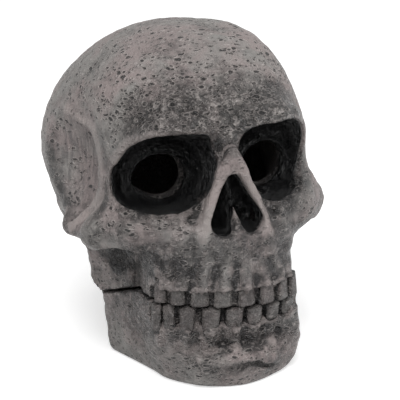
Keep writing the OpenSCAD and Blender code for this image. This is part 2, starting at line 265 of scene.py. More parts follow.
# %% Ridges, roots and rims of the upper head
# Lumps of clay that make the head lopsided: middle, three half widths, thickness
HEAD_CLAY = [(0, -42, 101, 22, 8, 6, 1.2), (24, -2, 112, 15, 20, 14, 3.0),
             (40, -29, 69, 8, 8, 13, 1.9), (-42, 20, 56, 14, 16, 12, -2.4)]
TEMPLE_EDGE = [(41, 3, 90), (38.2, -5, 87.5), (36.2, -15, 87.5), (35, -20.5, 80.5), (34.6, -20.8, 74),
               (34.4, -19.3, 67), (36, -17, 61), (39.2, -14, 56), (42.4, -10.5, 52)]
BROW_EDGE = [(7.5, -43.2, 92), (12, -43.2, 93.6), (19, -42.6, 94.2), (25.5, -39.2, 91.6),
             (30.5, -34.4, 87), (33, -31, 80)]
NOSE_EDGE = [(0, -48.6, 84), (2.8, -49.0, 79.5), (5.6, -48.6, 74), (8.1, -49, 67.5),
             (9.9, -50, 61.5), (11.4, -50.8, 56.5)]
NOSE_FLANK = [(7.2, -46.2, 85), (10, -46, 77), (12.4, -47, 70), (14.6, -48.6, 63)]
CANINE_EDGE = [(11.4, -50.2, 56.5), (12.8, -50, 50), (14.6, -48.8, 43), (16, -48.2, 39)]
CHEEK_LINE = [(17, -47.5, 58), (29, -41, 56), (38, -31, 53)]
EYE_X, EYE_Z, EYE_RING_Y, EYE_HOLE_R = 18.8, 72.8, -31, 7.4


def sockets(q):
    """Both eye sockets. The head's right one reaches further out at its lower corner."""
    p = (np.abs(q[0]), q[1], q[2])
    d = join(blob(p, (18.8, -38, 77.5), (12.5, 10, 11.5)), blob(p, (20, -44, 78), (15, 10, 14)), 2)
    d = join(d, blob(p, (22.4, -37, 76.6), (12.4, 9, 12.6)), 5)
    d = join(d, blob(p, (12, -46.5, 84.5), (7.5, 9, 6.5)), 3)
    return join(d, blob(q, (-28.6, -31.5, 72.5), (7.2, 8, 8.5)), 5)


def eye_ring(p):
    """Distance to the oval line round the eye hole, seen from in front."""
    return span((p[0] - EYE_X) / 1.12, p[2] - EYE_Z)


def nose_side(q):
    """Distance from the middle of the nose, whose lower end stands a little to one side."""
    return (np.abs(q[0] - 0.07 * np.clip(77 - q[2], 0, 20)), q[1], q[2])


def upper_sculpt(q):
    """Upper head with its edges, before the eyes, the nose and the mouth are opened."""
    d = knead(q, upper_bone(q), HEAD_CLAY)
    p = (np.abs(q[0]), q[1], q[2])
    face = nose_side(q)
    behind = [(x + 3.4, y + 5, z - 0.5) for x, y, z in TEMPLE_EDGE[2:8]]
    press(p, d, (26, -32, 44), (52, 14, 98), carve, behind, [1.4, 3.0, 3.5, 3.4, 3, 2], 4.5)
    temple = [-1, 0, 1.5, 2.1, 2.1, 1.9, 1.6, 1.3, 0.8]
    press(p, d, (28, -30, 46), (50, 10, 96), join, TEMPLE_EDGE, temple, 3)
    press(p, d, (2, -52, 72), (40, -22, 102), join, BROW_EDGE, [0.8, 2.2, 2.9, 2.9, 2.2, 1.0], 5)
    press(face, d, (-1, -60, 56), (22, -36, 92), carve, NOSE_FLANK, [2.2, 2.2, 1.9, 1.2], 3.5)
    press(face, d, (-1, -60, 50), (18, -36, 90), join, NOSE_EDGE, [2.6, 2.3, 2.0, 2.0, 1.9, 1.5], 1.8)
    press(p, d, (4, -60, 34), (24, -36, 62), join, CANINE_EDGE, [1.9, 1.5, 1.4, 1.0], 2.4)
    near(p, d, (18, -46, 30), (44, -6, 54),
         lambda s, e: carve(e, block(s, (34, -27, 42), (5.2, 11, 6.5), 3), 2.5))
    for x, w in UPPER_TEETH:
        y, top = row_y(x) + 1.5, bite(x) + UPPER_TOOTH_H - 1
        root = [(x, y, top - 1), (x * 0.93, y + 0.5, top + 6), (x * 0.82, y + 3.2, top + 14)]
        radii = [w * 0.34, w * 0.32, w * 0.16]
        press(q, d, (x - 8, -62, top - 6), (x + 8, -36, top + 20), join, root, radii, 1.8)
    return d


def nose_hole(q):
    """Pear-shaped opening of the nose, with a thin bone standing back in its middle."""
    p, ab, h = nose_side(q), (-4.2, 14.4), 15.0
    t = np.clip(((p[0] - 4.8) * ab[0] + (p[2] - 61.3) * ab[1]) / h ** 2, 0, 1)
    d = span(p[0] - 4.8 - t * ab[0], p[2] - 61.3 - t * ab[1]) - 4.5 + 3.0 * t
    d = np.maximum(d, p[1] + 43)
    middle = np.maximum(p[0] - 0.55 - 0.06 * np.maximum(0, 70 - p[2]), -46.2 - p[1])
    return np.maximum(d, -middle)


def upper_outside(q):
    """The whole outside of the upper head with its openings."""
    p = (np.abs(q[0]), q[1], q[2])
    d = mouth_band(q, upper_sculpt(q))
    d = carve(d, sockets(q), 1.2)
    near(q, d, (-16, -62, 50), (16, -38, 82), lambda s, e: carve(e, nose_hole(s), 0.9))
    spine = [(0, -48.6, 63.8), (0, -50, 60), (0, -50, 56), (0, -49.8, 50)]
    press(nose_side(q), d, (-1, -60, 44), (9, -40, 68), join, spine, [0.7, 2.2, 3.4, 1.6], 1.6)
    lip_y = EYE_RING_Y + 0.28 * (p[0] - EYE_X)
    lip = span(eye_ring(p) - 9.2, p[1] - lip_y) - 1.9
    d = np.where((p[1] < -24) & (eye_ring(p) < 16), join(d, lip, 4), d)
    return d


# %% [markdown]
# ## Casting it hollow
# The real head is slush-cast: resin is swilled round a rubber mould, so the wall has
# the same thickness everywhere and the inside is a blurred copy of the outside. In a
# distance field that is one subtraction. The parting between head and jaw is a pair
# of planes: one along the biting line and one that runs back to the hinge.

# %% Upper casting
WALL = 5.0
STEP_Y, STEP_Z, DIP_Y, DIP_Z, RISE_Y, PART_Z, GAP = -30, 33, -9, 24.5, -2, 28, 0.8


def rear_line(y):
    return np.interp(y, [STEP_Y, DIP_Y, RISE_Y], [STEP_Z, DIP_Z, PART_Z]).astype(np.float32)


def upper_casting(q):
    p = (np.abs(q[0]), q[1], q[2])
    d = upper_outside(q)
    room = np.maximum(mouth_band(q, upper_bone(q)) + WALL, WALL - sockets(q))
    room = np.maximum(room, -block(q, (0, -46.5, 69), (10, 13.5, 15), 0.5))
    d = np.maximum(d, -room)
    hole = np.maximum(eye_ring(p) - EYE_HOLE_R, np.abs(p[1] + 20) - 20)
    d = carve(d, hole, 2.8)
    front = np.maximum(q[1] - STEP_Y, q[2] - bite(q[0]))
    rear = np.maximum(STEP_Y - q[1], q[2] - rear_line(q[1]))
    return np.maximum(d, -np.minimum(front, rear))


# %% [markdown]
# ## The jaw, which is also the foot
# The jaw stands on the gravel, so it is wide and closed underneath by a deck that
# carries the air nozzle. The chin is broad and set a little to one side. A crease runs
# above it, and a shallow arc is scratched into its lower half.

# %% Lower casting
def leaned(q):
    """The same points moved sideways near the front of the foot, which sets the chin off the middle."""
    share = np.clip((-q[1] - 5) / 40, 0, 1) * np.clip(1 - q[2] / 30, 0.1, 1)
    return (q[0] - CHIN_LEAN * share, q[1], q[2])


def narrowed(p, by):
    """The same points moved outwards below z = 26, so that the form is narrower there."""
    return (p[0] + by * np.clip(26 - p[2], 0, 26), p[1], p[2])


def jaw_bone(q):
    s = leaned(q)
    p = (np.abs(s[0]), s[1], s[2])
    body = slab(narrowed(p, 0.2), (0, -40.5), (16, -37), 11.5, 11.5, -3, 40, 10)
    d = join(body, slab(narrowed(p, 0.1), (19, -32), (26, -8), 7, 6, -2, 40, 6), 6)
    d = join(d, block(p, (0, -4, 14), (18, 28, 26), 7), 8)
    return join(d, blob(p, (0, -44, 7), (16, 9, 9)), 6)


JAW_CLAY = [(29, -45, 12, 7, 7, 20, 3.0)]


def jaw_outside(q):
    d = knead(q, jaw_bone(q), JAW_CLAY)
    s = leaned(q)
    chin = [(-12, -50.2, 10), (-5, -51.8, 12), (4, -52, 11.5), (12, -50.6, 9)]
    press(s, d, (-26, -64, 0), (26, -34, 22), join, chin, [1.6, 2.0, 2.0, 1.6], 5)
    crease = [(-22, -44.6, 16.5), (-12, -50.6, 16.2), (0, -52, 17.2), (10, -51.6, 15.6),
              (18, -48.6, 16.6)]
    press(q, d, (-28, -64, 8), (26, -36, 24), carve, crease, [0.7] * 5, 2.5)
    for x, w in LOWER_TEETH:
        y = row_y(x) + 3.2
        root = [(x, y, LOWER_GUM_Z + 0.6), (x * 0.97, y + 0.8, LOWER_GUM_Z - 5)]
        press(q, d, (x - 8, -62, 8), (x + 8, -36, 28), join, root, [w * 0.36, w * 0.22], 3.2)
    arc = [(1, -54.6, 5), (1.5, -54.4, 7.6), (4.5, -54.4, 9.3), (8, -53.6, 9), (11, -52.4, 6.6),
           (14, -51.4, 6), (17, -50.6, 4)]
    press(q, d, (-4, -62, 0), (22, -44, 16), carve, arc, [0.7] * 7, 0.8)
    return mouth_band(q, d)


DECK_TOP, DECK_UNDER = 20, 16
NOZZLE_Y, NOZZLE_HOLE_R = -16, 3.1
INLET_Z, INLET_FRONT_Y, INLET_HOLE_R = 9, 12, 4.55
PAD_X, PAD_Y, PAD_FLOOR_Z, PAD_HOLE_R = 15.5, 6, 26, 1.9
DROP_Y, REAR_DROP = 11, 4.4


def lower_casting(q):
    """The jaw with a cup above its deck, a foot chamber under it, and its holes and pad seats."""
    x, y, z = q
    d = jaw_outside(q)
    cup = np.maximum(jaw_bone((x, y, np.full_like(z, DECK_TOP + 4))) + WALL, DECK_TOP - z)
    foot = np.maximum(jaw_bone((x, y, np.full_like(z, 10))) + WALL + 2.5, z - DECK_UNDER)
    d = np.maximum(np.maximum(d, -cup), -foot)
    front = np.maximum(y - STEP_Y - GAP, bite(x) - GAP - z)
    lid = rear_line(y) - GAP - REAR_DROP * (y > DROP_Y)
    rear = np.maximum(STEP_Y - GAP - y, lid - z)
    d = np.maximum(d, -np.minimum(front, rear))
    nozzle = span(x, y - NOZZLE_Y) - NOZZLE_HOLE_R
    inlet = np.maximum(span(x, z - INLET_Z) - INLET_HOLE_R, INLET_FRONT_Y - y)
    pads = np.maximum(span(np.abs(x) - PAD_X, y - PAD_Y) - PAD_HOLE_R, PAD_FLOOR_Z - z)
    d = np.maximum(np.maximum(d, -np.minimum(nozzle, inlet)), -pads)
    return np.maximum(d, -z)


# %% [markdown]
# ## From field to mesh
# Surface nets turn a field into a mesh. Space is cut into small cubes. Each cube that
# the surface passes through gets one point, at the average of the places where its
# edges are crossed. Every crossed edge then gives one four-sided face. The mesh is
# even and closed, and its faces already point outwards. A decimate modifier then
# thins it where the form is smooth.

# %% Surface nets
def skin(f, origin, step):
    """Points and faces of the surface where the grid f passes through zero."""
    n = np.array(f.shape)
    inside = f < 0
    keys, values, faces = [], [], []
    for axis in range(3):
        low, high = [slice(None)] * 3, [slice(None)] * 3
        low[axis], high[axis] = slice(0, -1), slice(1, None)
        change = inside[tuple(low)] != inside[tuple(high)]
        at = np.argwhere(change)
        a, b = f[tuple(low)][change], f[tuple(high)][change]
        place = at.astype(np.float64)
        place[:, axis] += a / (a - b)
        u, v = (axis + 1) % 3, (axis + 2) % 3
        around = []
        for du, dv in ((0, 0), (-1, 0), (-1, -1), (0, -1)):
            cell = at.copy()
            cell[:, u] += du
            cell[:, v] += dv
            around.append((cell[:, 0] * n[1] + cell[:, 1]) * n[2] + cell[:, 2])
            values.append(place)
        keys += around
        quad = np.stack(around, 1)
        quad[a > 0] = quad[a > 0][:, ::-1]
        faces.append(quad)
    cells, index = np.unique(np.concatenate(keys), return_inverse=True)
    values = np.concatenate(values)
    count = np.bincount(index)
    points = np.stack([np.bincount(index, values[:, i]) / count for i in range(3)], 1)
    return points * step + origin, np.searchsorted(cells, np.concatenate(faces))


def applied(carrier, name):
    """New object with the carrier's mesh as its modifiers leave it. The carrier goes."""
    bpy.context.view_layer.update()
    graph = bpy.context.evaluated_depsgraph_get()
    mesh = bpy.data.meshes.new_from_object(carrier.evaluated_get(graph))
    carrier.modifiers.clear()
    bpy.data.objects.remove(carrier)
    mesh.name = name
    mesh.shade_smooth()
    return placed(name, mesh)


def sculpture(name, form, low, high, step, triangles):
    """Mesh object of the field form between two corners, thinned to about so many triangles."""
    axes = [np.arange(low[i], high[i] + step, step, dtype=np.float32) for i in range(3)]
    grid = [g.ravel() for g in np.meshgrid(*axes, indexing="ij")]
    field = form(tuple(grid)).reshape([len(a) for a in axes])
    points, faces = skin(field, np.array(low), step)
    rough = bpy.data.meshes.new(name + "_rough")
    rough.from_pydata(points * MM, [], faces)
    carrier = placed(name + "_rough", rough)
    thin = carrier.modifiers.new("thin", "DECIMATE")
    thin.ratio = min(1, triangles / (2 * len(faces)))
    piece = applied(carrier, name)
    bpy.data.meshes.remove(rough)
    print(name, "made of", len(piece.data.polygons), "faces")
    return piece


# %% Mesh both castings
head = sculpture("skull_casting", upper_casting, (-48, -57, 22), (48, 56, 119), 0.66, 176000)
jaw = sculpture("jaw_casting", lower_casting, (-37, -57, -2), (38, 27, 36), 0.6, 110000)

# %% [markdown]
# ## Reading the relief back
# Paint follows relief: a dark wash runs into hollows and a dry brush only touches
# edges. The hollows are also darkened with painted shade. The field knows both. A short
# step out from the surface that comes near other surface means a hollow. A short step in
# that comes near the outside means an edge.
# The results are stored on each point, so materials can use them in any view.

# %% Measure hollows and edges
def per_point(mesh, what):
    """One row of three values for each point: its place or its normal."""
    values = np.zeros(len(mesh.vertices) * 3, np.float32)
    mesh.vertices.foreach_get(what, values)
    return values.reshape(-1, 3)


def probe(form, co, no, reach):
    """How much nearer the surface is, reach away along the normal, than over a flat place."""
    return 1 - form(tuple((co + no * reach).T)) / reach


def store_all(mesh, masks):
    """Keeps each mask on the points, under its name, so that materials can read it."""
    for name, values in masks.items():
        layer = mesh.attributes.new(name, "FLOAT", "POINT")
        layer.data.foreach_set("value", np.clip(values, 0, 1).astype(np.float32))


def measure(mesh, form):
    """Points of the mesh with their share of hollow and of edge, each summed over several reaches."""
    co, no = per_point(mesh, "co") / MM, per_point(mesh, "normal")
    hollow = sum(w * np.clip(probe(form, co, no, r), 0, 1)
                 for r, w in ((0.9, 0.3), (2.2, 0.35), (5, 0.45), (10, 0.4)))
    edge = sum(w * np.clip(probe(form, co, no, -r), 0, 1) for r, w in ((0.9, 0.6), (2, 0.6)))
    print(mesh.name, "median hollow", np.median(hollow).round(2), "edge", np.median(edge).round(2))
    return co, hollow, edge


# %% Hand-worked unevenness
def lumps(co, size, seed):
    """Smooth random values from -1 to 1 with lumps of the given size in millimetres."""
    rng = np.random.default_rng(seed)
    table = rng.uniform(-1, 1, 4096)
    cell = np.floor(co / size).astype(np.int64)
    t = co / size - cell
    t = t * t * (3 - 2 * t)
    total = 0
    for corner in range(8):
        step = np.array([corner & 1, corner >> 1 & 1, corner >> 2])
        key = cell + step
        value = table[(key[:, 0] * 73856093 ^ key[:, 1] * 19349663 ^ key[:, 2] * 83492791) % 4096]
        total = total + value * np.prod(np.where(step, t, 1 - t), axis=1)
    return total


def work_by_hand(mesh, form):
    """Presses small lumps and dents into the outside only."""
    co, no = per_point(mesh, "co") / MM, per_point(mesh, "normal")
    outer = ramp(form(tuple(co.T)), -1.5, -0.4)
    rough = 1 + 0.9 * ramp(72 - co[:, 2], 0, 24)
    push = -0.22 + 0.30 * lumps(co, 9, 5) + rough * (0.22 * lumps(co, 4, 6) + 0.16 * lumps(co, 2, 7))
    co = co + no * (push * outer * ramp(co[:, 2], 0.5, 3))[:, None]
    mesh.vertices.foreach_set("co", (co * MM).astype(np.float32).ravel())
    mesh.update()


work_by_hand(head.data, upper_outside)
work_by_hand(jaw.data, jaw_outside)
print("surfaces worked")

# %% Store the masks of the skull
co, hollow, edge = measure(head.data, upper_outside)
q = x, y, z = tuple(co.T)
p = (np.abs(x), y, z)
rubbed = np.zeros(len(co))
for line in (BROW_EDGE[1:], NOSE_EDGE, TEMPLE_EDGE[2:], CHEEK_LINE):
    rubbed = np.maximum(rubbed, ramp(-strand(p, line, [2.0] * len(line)), -1.4, 0.6))
depth = -upper_sculpt(q)
inner = ramp(-upper_outside(q), 1.5, 3.5)
in_socket = ramp(-sockets(q), -1.2, 0.2) * ramp(depth, 0.4, 2.0)
corner = ramp(-blob(p, (9, -45, 80), (4.6, 8, 11)), -1.5, 1.5)
in_socket = np.maximum(in_socket, corner * (1 - rubbed))
in_nose = ramp(-nose_hole(q), -1.2, 0.1) * ramp(depth, 0.6, 2.2) * (z > 52)
in_mouth = ramp(depth, 0.4, 1.4) * (z < bite(x) + UPPER_TOOTH_H + 1) * (y < -34)
temple = ramp(-blob(p, *TEMPLE_HOLLOW), -4, 1)
# Mask of the recessed panel below the cheekbone, which is darkened as painted shadow
panel = ramp(-block(p, (34, -27, 42), (6.5, 12.5, 8), 3), -1, 1)
face = ramp(-y, 24, 40)

# Nicks crowd above the brow and thin out on the temple, the panel and rubbed edges
pitting = 0.42 + 0.50 * hump(z, 100, 7) * ramp(-y, 5, 30) + 0.05 * ramp(z, 100, 110)
pitting -= 0.20 * temple + 0.30 * panel + 0.25 * np.maximum(in_socket, in_nose) + 0.35 * rubbed

# The gum's band, with the swell of each root in it
over_gum = z - upper_gum(x)
roots = arches(x / (1 - 0.012 * np.clip(over_gum, 0, 14)), UPPER_TEETH)
band = ramp(over_gum, 0, 2) * (1 - ramp(over_gum, 9, 16)) * ramp(-y, 38, 44)

# Wash and painted shade: the lower face is darker as painted shade, the hollow under each cheekbone and
# the panel below it carry painted shadow, and the mask is also darker over the brow, between the eyes
# and round the sockets
grime_and_shade = 0.12 + 0.22 * face * ramp(66 - z, 0, 14) + 0.45 * hump(z, 97, 5) * face
# Painted shadow under each cheekbone
grime_and_shade += 0.6 * hump(p[0], 22, 7) * hump(z, 46, 8)
grime_and_shade += 0.12 * ramp(72 - z, 0, 20) + 0.5 * panel + 0.8 * hump(x, 0, 9) * hump(z, 93, 7) * face
# Darker in the grooves between the roots, by wash and painted shade
grime_and_shade += band * (0.8 * (1 - roots) - 0.1 * roots)
rubbed = np.maximum(rubbed, 0.35 * band * roots)
grime_and_shade += 0.4 * ramp(-sockets(q), -6, -1) - 0.4 * rubbed - 0.6 * temple
grime_and_shade += 0.4 * face * hump(z, 99, 12)

# Hollows darken by wash and painted shade; the panel and the grooves between the roots get more, the
# temple less
hollow = hollow * (1 - 0.7 * temple) + 0.4 * in_mouth + 0.5 * panel + 0.7 * band * (1 - roots) ** 2
store_all(head.data, {
    "hollow": hollow, "edge": edge * (1 - inner), "inner": inner, "grime_and_shade": grime_and_shade,
    "gloss_paint": np.maximum(in_socket, in_nose), "rubbed": rubbed * (1 - inner),
    "pitting": pitting * (1 - inner),
    "streaks": np.maximum(temple, 0.6 * ramp(-y, 38, 46) * ramp(70 - z, 0, 20))})
print("painted share of the skull", round(float((in_socket > 0.5).mean()), 3))

# %% Store the masks of the jaw
co, hollow, edge = measure(jaw.data, jaw_outside)
q = x, y, z = tuple(co.T)
none = np.zeros(len(co))
inner = ramp(-jaw_outside(q), 1.5, 3.5)
in_mouth = ramp(-jaw_bone(q), 0.4, 1.4) * (z > LOWER_GUM_Z - 1) * (y < -34)
# Wash and painted shade on the jaw: darker all over, more towards the top of its front and in two
# corners
corners = hump(x, 24, 6) * hump(z, 13, 7) + hump(y, -22, 8) * hump(z, 21, 7)
store_all(jaw.data, {
    "hollow": hollow + 0.4 * in_mouth, "edge": edge * (1 - inner), "inner": inner,
    "grime_and_shade": 0.28 + 0.55 * ramp(z, 13, 21) * (y < -26) + 0.4 * corners,
    "gloss_paint": none, "rubbed": none, "pitting": 0.62 * (1 - inner),
    "streaks": 0.3 * ramp(z, 12, 20)})
print("jaw masks stored")

# %% [markdown]
# ## Teeth, placed by Geometry Nodes
# Each tooth is the same blunt block with rounded corners and faint upright ridges.
# It is modelled once. A point for each tooth, with its width, height and turn, lies on
# the arch of the mouth, and a node tree sets a copy on every point. Changing the arch
# or one width then needs no modelling. The tree has small random tilts with a fixed
# seed, as no two hand-cut teeth stand alike.

# %% One tooth
def tooth_mesh():
    """Tooth one unit wide and high, with its root at z = 0, its edge at z = -1 and its front at -y."""
    around, rings = 28, 16
    points, wash_and_shade = [], []
    for j in range(rings + 1):
        h = j / rings
        grow = 0.8 + 0.2 * h ** 0.6
        grow *= 1 - 0.16 * max(0, (h - 0.92) / 0.08) ** 2.5
        for i in range(around):
            a = 2 * np.pi * (i + 0.5) / around
            c, s = np.cos(a), np.sin(a)
            x = 0.5 * np.sign(c) * abs(c) ** 0.42
            y = 0.5 * np.sign(s) * abs(s) ** 0.6
            ridge = 1 + 0.025 * np.cos(9 * a) * (s < 0)
            points.append((x * grow, y * grow * ridge, -h * 0.97))
            # Darker on the sides, the back and towards the root end: painted shade where the sides turn
            # from the light and the gum overhangs, with the wash
            wash_and_shade.append(1 - ramp(-s, -0.1, 0.75) * (0.35 + 0.65 * ramp(h, 0, 0.3)))
    faces = []
    for j in range(rings):
        for i in range(around):
            n = (i + 1) % around
            a, b = j * around + i, j * around + n
            faces.append((a, a + around, b + around, b))
    last = len(points)
    points += [(0, 0, 0.02), (0, -0.04, -1)]
    wash_and_shade += [1, 0.5]
    top = rings * around
    faces += [(last, i, (i + 1) % around) for i in range(around)]
    faces += [(last + 1, top + (i + 1) % around, top + i) for i in range(around)]
    mesh = bpy.data.meshes.new("tooth")
    mesh.from_pydata(points, [], faces)
    store_all(mesh, {"wash_and_shade": wash_and_shade})
    mesh.shade_smooth()
    return mesh


tooth = placed("tooth", tooth_mesh())
print("one tooth has", len(tooth.data.polygons), "faces")

# %% Tree that sets teeth on an arch
def teeth_tree():
    tree = bpy.data.node_groups.new("Teeth on an arch", "GeometryNodeTree")
    add = tree.interface.new_socket
    add("Arch", in_out="INPUT", socket_type="NodeSocketGeometry")
    add("Tooth", in_out="INPUT", socket_type="NodeSocketObject")
    add("Tilt", in_out="INPUT", socket_type="NodeSocketFloat").default_value = 0.05
    add("Seed", in_out="INPUT", socket_type="NodeSocketInt").default_value = 4
    add("Finish", in_out="INPUT", socket_type="NodeSocketMaterial")
    add("Teeth", in_out="OUTPUT", socket_type="NodeSocketGeometry")
    nodes, links = tree.nodes, tree.links
    start, end = nodes.new("NodeGroupInput"), nodes.new("NodeGroupOutput")
    info = nodes.new("GeometryNodeObjectInfo")
    info.inputs["As Instance"].default_value = True
    size, turn = [nodes.new("GeometryNodeInputNamedAttribute") for _ in range(2)]
    size.data_type = turn.data_type = "FLOAT_VECTOR"
    size.inputs["Name"].default_value, turn.inputs["Name"].default_value = "size", "turn"
    low, high = [nodes.new("ShaderNodeVectorMath") for _ in range(2)]
    low.operation = high.operation = "SCALE"
    low.inputs[0].default_value, high.inputs[0].default_value = (-1, -1, -1), (1, 1, 1)
    random = nodes.new("FunctionNodeRandomValue")
    random.data_type = "FLOAT_VECTOR"
    total = nodes.new("ShaderNodeVectorMath")
    place = nodes.new("GeometryNodeInstanceOnPoints")
    real, finish = nodes.new("GeometryNodeRealizeInstances"), nodes.new("GeometryNodeSetMaterial")
    links.new(start.outputs["Tooth"], info.inputs["Object"])
    links.new(start.outputs["Tilt"], low.inputs["Scale"])
    links.new(start.outputs["Tilt"], high.inputs["Scale"])
    links.new(low.outputs[0], random.inputs["Min"])
    links.new(high.outputs[0], random.inputs["Max"])
    links.new(start.outputs["Seed"], random.inputs["Seed"])
    links.new(turn.outputs["Attribute"], total.inputs[0])
    links.new(random.outputs["Value"], total.inputs[1])
    links.new(start.outputs["Arch"], place.inputs["Points"])
    links.new(info.outputs["Geometry"], place.inputs["Instance"])
    links.new(total.outputs[0], place.inputs["Rotation"])
    links.new(size.outputs["Attribute"], place.inputs["Scale"])
    links.new(place.outputs["Instances"], real.inputs["Geometry"])
    links.new(real.outputs["Geometry"], finish.inputs["Geometry"])
    links.new(start.outputs["Finish"], finish.inputs["Material"])
    links.new(finish.outputs["Geometry"], end.inputs["Teeth"])
    return tree


TEETH_TREE = teeth_tree()
print("teeth tree has", len(TEETH_TREE.nodes), "nodes")


# %% Run the tree along one row
def teeth_row(name, places, finish, seed):
    """Sets one row. places holds each tooth's root and size in millimetres, and its turn."""
    arch = bpy.data.meshes.new(name + "_arch")
    arch.from_pydata([tuple(v * MM for v in at) for at, _, _ in places], [], [])
    for label, column in (("size", 1), ("turn", 2)):
        layer = arch.attributes.new(label, "FLOAT_VECTOR", "POINT")
        scale = MM if label == "size" else 1
        layer.data.foreach_set("vector", [v * scale for row in places for v in row[column]])
    carrier = placed(name + "_arch", arch)
    modifier = carrier.modifiers.new("teeth", "NODES")
    modifier.node_group = TEETH_TREE
    given = {"Tooth": tooth, "Tilt": 0.05, "Seed": seed, "Finish": finish}
    for item in TEETH_TREE.interface.items_tree:
        if item.in_out == "INPUT" and item.name in given:
            modifier[item.identifier] = given[item.name]
    row = applied(carrier, name)
    print(name, "has", len(places), "teeth and", len(row.data.polygons), "faces")
    return row


# %% [markdown]
# ## Finishes as small reusable tools
# The ornament is one grey casting with three paints: a thin dark wash, a pale dry
# brush and a glossy black in the eyes and nose. Effects that several materials share
# are shader groups with named inputs: mottling, pits, brush streaks and moulded
# grain. Only colours, masks and heights leave a group. The shader itself stays in the
# material.

# %% Helpers for building node trees
def srgb(r, g, b):
    """Colour from 0 to 255 turned into the linear values that shaders use."""
    values = [v / 255 for v in (r, g, b)]
    return tuple(v / 12.92 if v <= 0.04045 else ((v + 0.055) / 1.055) ** 2.4 for v in values) + (1,)


class Sheet:
    """A node tree with short calls for adding and joining nodes."""

    def __init__(self, tree):
        self.tree = tree

    def node(self, kind, **settings):
        made = self.tree.nodes.new(kind)
        for key, value in settings.items():
            setattr(made, key, value)
        return made

    def feed(self, socket, value):
        if hasattr(value, "is_output"):
            self.tree.links.new(value, socket)
        else:
            socket.default_value = value

    def fill(self, node, values):
        for key, value in values.items():
            self.feed(node.inputs[key], value)

    def wire(self, node, *values):
        """Feed a node's first sockets, in their order."""
        for socket, value in zip(node.inputs, values):
            self.feed(socket, value)
        return node

    def math(self, operation, a, b=0.0, c=0.0):
        return self.wire(self.node("ShaderNodeMath", operation=operation), a, b, c).outputs[0]

    def times(self, a, b, plus=0.0):
        """a times b, plus an amount."""
        return self.math("MULTIPLY_ADD", a, b, plus)

    def range(self, value, low, high, to_low=0.0, to_high=1.0):
        made = self.node("ShaderNodeMapRange", interpolation_type="SMOOTHSTEP")
        self.fill(made, {"Value": value, "From Min": low, "From Max": high,
                         "To Min": to_low, "To Max": to_high})
        return made.outputs["Result"]

    def blend(self, share, a, b):
        made = self.node("ShaderNodeMix", data_type="RGBA", clamp_factor=True)
        self.feed(made.inputs[0], share)
        self.feed(made.inputs[6], a)
        self.feed(made.inputs[7], b)
        return made.outputs[2]

    def noise(self, vector, scale, detail=2.0, rough=0.5, distortion=0.0):
        made = self.node("ShaderNodeTexNoise")
        self.fill(made, {"Vector": vector, "Scale": scale, "Detail": detail, "Roughness": rough,
                         "Distortion": distortion})
        return made.outputs["Fac"]

    def stretch(self, vector, scale, turn=(0, 0, 0)):
        made = self.node("ShaderNodeMapping")
        self.feed(made.inputs["Vector"], vector)
        made.inputs["Scale"].default_value = scale
        made.inputs["Rotation"].default_value = turn
        return made.outputs["Vector"]

    def attribute(self, name):
        return self.node("ShaderNodeAttribute", attribute_name=name).outputs["Fac"]

    def bumps(self, height, strength, distance):
        made = self.node("ShaderNodeBump")
        self.fill(made, {"Height": height, "Strength": strength, "Distance": distance})
        return made.outputs["Normal"]

    def surface(self, values):
        """The material's one shader, joined to its output."""
        made = self.node("ShaderNodeBsdfPrincipled")
        self.fill(made, values)
        self.wire(self.node("ShaderNodeOutputMaterial"), made.outputs["BSDF"])

    def seen(self):
        """1 for rays that see the object's surroundings, and 0 for the rays that light it."""
        rays = self.node("ShaderNodeLightPath").outputs
        mirrored = self.math("MAXIMUM", rays["Is Glossy Ray"], rays["Is Transmission Ray"])
        return self.math("MAXIMUM", rays["Is Camera Ray"], mirrored)

    def call(self, group, **inputs):
        made = self.node("ShaderNodeGroup")
        made.node_tree = group
        self.fill(made, {key.replace("_", " "): value for key, value in inputs.items()})
        return made.outputs


def blank(owner):
    """Empty node sheet of a material or a world."""
    owner.use_nodes = True
    owner.node_tree.nodes.clear()
    return Sheet(owner.node_tree)


def group(name, inputs, outputs):
    """Empty shader group: its tree, its sheet and both rows of sockets."""
    tree = bpy.data.node_groups.new(name, "ShaderNodeTree")
    kinds = {"v": "NodeSocketVector", "f": "NodeSocketFloat", "c": "NodeSocketColor"}
    for label, kind, value in inputs:
        socket = tree.interface.new_socket(label, in_out="INPUT", socket_type=kinds[kind])
        if value is not None:
            socket.default_value = value
    for label, kind in outputs:
        tree.interface.new_socket(label, in_out="OUTPUT", socket_type=kinds[kind])
    start, end = tree.nodes.new("NodeGroupInput"), tree.nodes.new("NodeGroupOutput")
    return tree, Sheet(tree), start.outputs, end.inputs


# %% Group: mottling
tree, s, i, o = group(
    "Mottled tint",
    [("Place", "v", None), ("Patch", "f", 60.0), ("Cool", "c", None), ("Warm", "c", None)],
    [("Tint", "c")])
patches = s.noise(i["Place"], i["Patch"], 4, 0.55, 0.6)
s.feed(o["Tint"], s.blend(s.range(patches, 0.38, 0.62), i["Cool"], i["Warm"]))
MOTTLE = tree
print("group made:", tree.name)

# %% [markdown]
# Pits are the resin's main texture: short dark nicks from a wire brush pressed into
# the clay. A Voronoi pattern gives one nick per cell. The cells are stretched and
# bent by noise so the nicks differ, and each cell's random colour decides whether it
# has a nick at all, which lets a mask thin them out. The rim of a nick is raised a
# little and gets a pale painted highlight.

